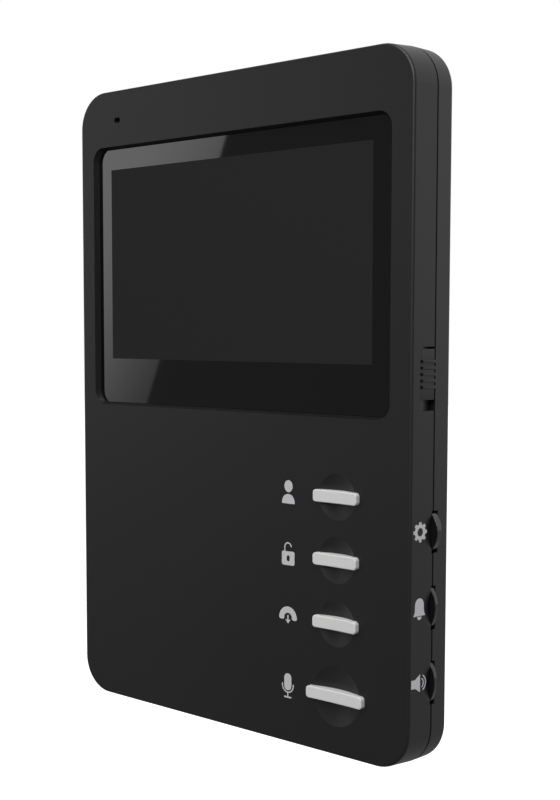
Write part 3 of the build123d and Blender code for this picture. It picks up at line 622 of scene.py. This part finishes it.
# a wedge flush with the wall, with five round ribs that run on across the seam and a dimple
# at the front end of each; drawn with x backwards along the wall, y up and z outwards
def slideKnob():
    look = knobLook
    low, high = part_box("power_slider")
    middle = (low[2] + high[2]) / 2
    tall = (high[2] - low[2]) / mm
    knob = box(look["back"] / 2, 0, -look["thick"] / 2, look["back"], tall, look["thick"])
    editAll()
    slope = math.atan(look["floorDrop"] / look["back"])
    above = (math.sin(slope), 0, math.cos(slope))
    bpy.ops.mesh.bisect(plane_co=(look["lift"], 0, 0), plane_no=above, use_fill=True, clear_inner=True)
    leaveEdit()
    rest = tall / 2 - slack
    roundEdges(
        knob, look["edge"], look["edgeSteps"],
        lambda a, b: a.z > -slack and b.z > -slack and abs(a.y) > rest and a.y * b.y > 0,
    )
    places = [(step - (look["ribs"] - 1) / 2) * look["pitch"] for step in range(look["ribs"])]
    length = look["ribBack"] - look["ribFront"]
    deep = look["ribProud"] + look["ribSunk"]
    rib = box(look["ribFront"] + length / 2, 0, look["ribProud"] - deep / 2, length, look["ribWidth"], deep)
    top = look["ribProud"] - slack
    roundEdges(rib, look["ribRound"], look["ribSteps"], lambda a, b: a.z > top and b.z > top)
    dimple = oval(look["dimplePlace"], 0, 2 * look["dimple"], 2 * look["dimple"], look["dimpleSides"])
    ribs, dimples = [], []
    for y in places:
        for source, copies in ((rib, ribs), (dimple, dimples)):
            copy = source.copy()
            copy.data = source.data.copy()
            bpy.context.collection.objects.link(copy)
            clearSelection()
            copy.select_set(True)
            bpy.context.view_layer.objects.active = copy
            copy.location = (0, y, 0)
            bpy.ops.object.transform_apply(location=True)
            copies.append(copy)
    for source in (rib, dimple):
        bpy.data.objects.remove(source)
    lean = onSide(look["nose"] * mm, middle)
    stemX = look["stemFront"] + look["stemDepth"] / 2
    stemY = faceY + (look["nose"] + look["stemDepth"]) * mm
    inner = (lean.inverted() @ Vector((low[0], stemY, middle))).z / mm
    top = look["stemTop"]
    stem = box(stemX, 0, (top + inner) / 2, look["stemDepth"], look["stemWidth"], top - inner)
    knob = combine([knob, *ribs, stem], "UNION")
    knob = combine([knob, *[deepen(cut) for cut in dimples]], "DIFFERENCE")
    clearSelection()
    knob.select_set(True)
    bpy.context.view_layer.objects.active = knob
    knob.matrix_world = lean @ Matrix.Diagonal((mm, mm, mm, 1))
    bpy.ops.object.transform_apply(location=True, rotation=True, scale=True)
    bpy.ops.object.shade_smooth_by_angle(angle=math.radians(look["smooth"]))
    knob.name = "slide_knob"
    knob.data.name = "slide_knob"
    knob.data.materials.append(finishes["case_plastic"])
    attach(knob, "power_slider")
    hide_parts("power_slider")


slideKnob()
print("slide knob shaped")


stageLook = {"drop": 0.32, "size": 12.0, "colour": (0.86, 0.86, 0.86, 1), "glow": 0.9}


# the floor glows a little, so that it is as white as the backdrop, and lights nothing else
def makeFloor():
    look = stageLook
    clearSelection()
    bpy.ops.mesh.primitive_plane_add(size=look["size"], location=(0, 0, cadBounds[0][2] - look["drop"]))
    bpy.ops.object.transform_apply(location=True)
    floor = bpy.context.object
    floor.name = "floor"
    finish = Finish("floor_paint", Roughness=0.9, Emission_Strength=look["glow"])
    finish.shader.inputs["Emission Color"].default_value = look["colour"]
    finish.feed("Base Color", finish.mixColour(finish.noise(0.4), shade(look["colour"], 0.98), look["colour"]))
    floor.data.materials.append(finish.material)
    floor.visible_glossy = False
    floor.visible_diffuse = False


lampLooks = {
    "key": {"place": (0.60, -1.10, 0.75), "aim": (0, 0, 0), "size": (0.8, 0.8), "power": 11.6},
    "top": {"place": (0.10, -0.55, 1.20), "aim": (0, 0, 0), "size": (0.8, 0.6), "power": 7.0},
    "left": {"place": (-1.25, -0.45, 0.45), "aim": (0, 0, 0), "size": (0.7, 0.9), "power": 0.55},
}


def makeLamp(name, look):
    data = bpy.data.lights.new(name, "AREA")
    data.shape = "RECTANGLE"
    data.size, data.size_y = look["size"]
    data.energy = look["power"]
    lamp = bpy.data.objects.new(name, data)
    bpy.context.collection.objects.link(lamp)
    place = Vector(look["place"])
    turn = (Vector(look["aim"]) - place).to_track_quat("-Z", "Y")
    lamp.matrix_world = Matrix.Translation(place) @ turn.to_matrix().to_4x4()


# room, card, backHigh and backLow are brightnesses; the card's edges and its glow are given
# in slopes, sideways or upwards over forwards; backEdge is how high a direction points
worldLook = {
    "seen": 1.0,
    "room": 0.185,
    "glowAcross": 2.53, "glowUp": 2.353, "glowFrom": 2.327,
    "cardCrisp": 0.004, "cardFade": 0.15, "cardFoot": (-0.35, -0.2), "backCrisp": 0.01, "backFade": (0.1, 0.4),
    "card": 2.0, "cardEdge": 0.988, "cardTop": 0.191, "cardSlant": 0.442, "cardOuter": 1.45, "cardHigh": 0.5,
    "backHigh": 0.70, "backLow": 0.215, "backEdge": -0.05,
}


# the backdrop is white to the eye; the room that lights the piece has a tall slanted
# card at the left front and a bright wall behind, above a dim floor
def makeWorld():
    look = worldLook
    world = bpy.data.worlds.new("studio")
    world.use_nodes = True
    sky = Nodes(world.node_tree)
    x, y, z = sky.split(sky.node("TexCoord", out="Generated"))
    forward = sky.node("Math", {"operation": "MAXIMUM"}, {0: 0 - y, 1: 0.001})  # never nought
    across = (0 - x) / forward
    up = z / forward
    edge = across - look["cardEdge"] - (look["cardTop"] - up) * look["cardSlant"]
    shine = across * look["glowAcross"] + up * look["glowUp"] - look["glowFrom"]
    glow = sky.rise(shine, 0.0, 1.0, look["card"])
    fade = look["cardFade"]
    inCard = sky.rise(edge, 0.0, look["cardCrisp"]) * sky.rise(look["cardOuter"] - across, 0.0, fade)
    inCard = inCard * sky.rise(look["cardHigh"] - up, 0.0, fade) * sky.rise(up, *look["cardFoot"]) * (y < 0)
    low, high = look["backEdge"] - look["backCrisp"], look["backEdge"] + look["backCrisp"]
    wall = look["backLow"] + sky.rise(z, low, high, look["backHigh"] - look["backLow"])
    back = sky.rise(y, *look["backFade"]) * wall
    room = look["room"] + glow * inCard + back
    isSeen = sky.node("LightPath", out=0)
    strength = room * (1 - isSeen) + isSeen * look["seen"]
    background = world.node_tree.nodes["Background"]
    background.inputs["Color"].default_value = (1, 1, 1, 1)
    world.node_tree.links.new(strength.socket, background.inputs["Strength"])
    bpy.context.scene.world = world


cameraLook = {
    "place": (248.39 * mm, -267.58 * mm, 19.69 * mm),
    "turn": 42.40, "dip": 4.65, "roll": 0.13, "lens": 60.9, "shiftX": 0.0012, "shiftY": 0.0491,
}


def makeCamera():
    look = cameraLook
    data = bpy.data.cameras.new("camera")
    data.lens = look["lens"]
    data.sensor_width = 36
    data.shift_x = look["shiftX"]
    data.shift_y = look["shiftY"]
    data.clip_start = 0.01
    camera = bpy.data.objects.new("camera", data)
    bpy.context.collection.objects.link(camera)
    turn = Matrix.Rotation(math.radians(look["turn"]), 4, "Z")
    tilt = Matrix.Rotation(math.radians(90 - look["dip"]), 4, "X")
    roll = Matrix.Rotation(math.radians(look["roll"]), 4, "Z")
    camera.matrix_world = Matrix.Translation(look["place"]) @ turn @ tilt @ roll
    bpy.context.scene.camera = camera


makeFloor()
for lampName, lampLook in lampLooks.items():
    makeLamp(lampName, lampLook)
makeWorld()
makeCamera()
bpy.context.scene.view_settings.view_transform = "Standard"
print("stage set")
